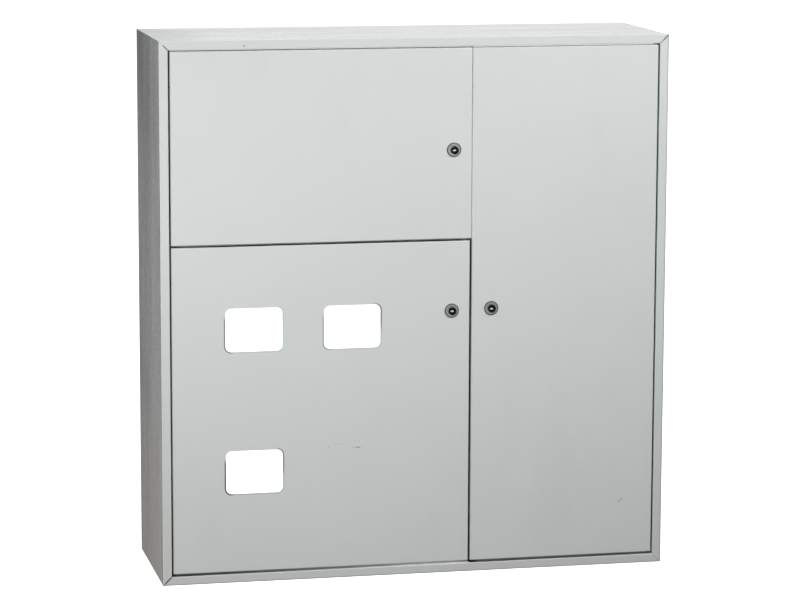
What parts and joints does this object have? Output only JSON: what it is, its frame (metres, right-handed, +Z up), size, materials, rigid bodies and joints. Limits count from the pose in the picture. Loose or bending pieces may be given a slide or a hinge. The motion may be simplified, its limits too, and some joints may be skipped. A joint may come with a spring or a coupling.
{
  "type": "floor distribution board",
  "caption": "Flush wall cabinet in grey sheet steel: two stacked left doors, the lower with meter windows, and one tall right door, each with a quarter-turn lock, in a mitred face frame",
  "frame": {"origin": "middle of the footprint, on the surface that the board stands on", "axes": "+X to the right seen from the front, +Y into the board, +Z up"},
  "size_m": [0.95, 0.3018, 1],
  "materials": {
    "painted_sheet": "satin powder coat, light grey",
    "galvanised_sheet": "galvanised, matt with fine streaks",
    "plated_steel": "zinc plated",
    "lock_zinc": "satin zinc die casting",
    "lock_core": "black",
    "brass_bar": "plain",
    "insulator": "matt",
    "clear_pane": "clear acrylic"
  },
  "bodies": {
    "box": {"left_panel": "galvanised_sheet", "right_panel": "galvanised_sheet", "top_panel": "galvanised_sheet", "bottom_panel": "galvanised_sheet", "frame_left": "painted_sheet", "frame_right": "painted_sheet", "frame_top": "painted_sheet", "frame_bottom": "painted_sheet", "centre_partition": "galvanised_sheet", "centre_mullion": "painted_sheet", "divider_shelf": "galvanised_sheet", "back_strap_top": "galvanised_sheet", "back_strap_bottom": "galvanised_sheet", "upper_hinge_lugs": "plated_steel", "lower_hinge_lugs": "plated_steel", "right_hinge_lugs": "plated_steel", "device_post_left": "plated_steel", "device_post_right": "plated_steel", "device_rail_upper": "plated_steel", "device_rail_lower": "plated_steel", "rail_screws": "plated_steel", "cover_plate": "painted_sheet", "cover_screws": "plated_steel", "meter_strips": "plated_steel", "low_current_strips": "plated_steel", "neutral_bar": "brass_bar", "earth_bar": "brass_bar", "terminal_screws": "plated_steel", "bar_supports": "insulator", "earth_stud": "plated_steel", "earth_stud_nuts": "plated_steel", "earth_stud_washers": "plated_steel"},
    "upper_door_body": {"upper_door": "painted_sheet", "upper_lock_housing": "lock_zinc", "upper_lock_nut": "plated_steel", "upper_hinge_leaves": "plated_steel", "upper_hinge_pins": "plated_steel"},
    "lower_door_body": {"lower_door": "painted_sheet", "lower_lock_housing": "lock_zinc", "lower_lock_nut": "plated_steel", "lower_hinge_leaves": "plated_steel", "lower_hinge_pins": "plated_steel", "window_pane_upper_left": "clear_pane", "window_pane_upper_middle": "clear_pane", "window_pane_lower_left": "clear_pane", "window_clips": "plated_steel"},
    "right_door_body": {"right_door": "painted_sheet", "right_lock_housing": "lock_zinc", "right_lock_nut": "plated_steel", "right_hinge_leaves": "plated_steel", "right_hinge_pins": "plated_steel"},
    "upper_cam_body": {"upper_lock_core": "lock_core", "upper_lock_cam": "plated_steel", "upper_cam_screw": "plated_steel"},
    "lower_cam_body": {"lower_lock_core": "lock_core", "lower_lock_cam": "plated_steel", "lower_cam_screw": "plated_steel"},
    "right_cam_body": {"right_lock_core": "lock_core", "right_lock_cam": "plated_steel", "right_cam_screw": "plated_steel"}
  },
  "joints": [
    {"name": "upper_door_hinge", "type": "hinge", "parent": "box", "child": "upper_door_body", "pos_m": [-0.4485, -0.1421, 0.80515], "axis": [0, 0, -1], "range_deg": [0, 105]},
    {"name": "lower_door_hinge", "type": "hinge", "parent": "box", "child": "lower_door_body", "pos_m": [-0.4485, -0.1421, 0.3231], "axis": [0, 0, -1], "range_deg": [0, 105]},
    {"name": "right_door_hinge", "type": "hinge", "parent": "box", "child": "right_door_body", "pos_m": [0.4485, -0.1421, 0.50075], "axis": [0, 0, 1], "range_deg": [0, 105]},
    {"name": "upper_lock_turn", "type": "hinge", "parent": "upper_door_body", "child": "upper_cam_body", "pos_m": [0.0682, -0.1391, 0.794], "axis": [0, 1, 0], "range_deg": [0, 90]},
    {"name": "lower_lock_turn", "type": "hinge", "parent": "lower_door_body", "child": "lower_cam_body", "pos_m": [0.0656, -0.1391, 0.4955], "axis": [0, 1, 0], "range_deg": [0, 90]},
    {"name": "right_lock_turn", "type": "hinge", "parent": "right_door_body", "child": "right_cam_body", "pos_m": [0.1405, -0.1391, 0.498], "axis": [0, -1, 0], "range_deg": [0, 90]}
  ]
}
